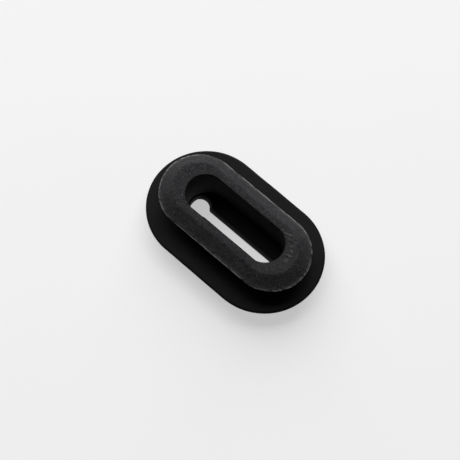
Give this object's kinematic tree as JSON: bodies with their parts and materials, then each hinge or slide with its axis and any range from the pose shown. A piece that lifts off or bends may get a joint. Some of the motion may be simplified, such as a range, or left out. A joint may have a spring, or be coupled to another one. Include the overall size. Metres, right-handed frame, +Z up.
{
  "type": "rubber grommet",
  "caption": "Oval rubber grommet that snaps into a panel cut-out and carries a cable through a keyhole in its web.",
  "frame": {"origin": "centre of the flat underneath, in the middle of the grommet's length and width", "axes": "+X along the grommet, from the round hole to the far end of the slot; +Z up, from the domed cap to the lip, square to the panel"},
  "size_m": [0.03, 0.0184, 0.0088],
  "materials": {
    "rubber": "matte black moulded rubber"
  },
  "bodies": {
    "root": {"grommet": "rubber"}
  },
  "joints": []
}
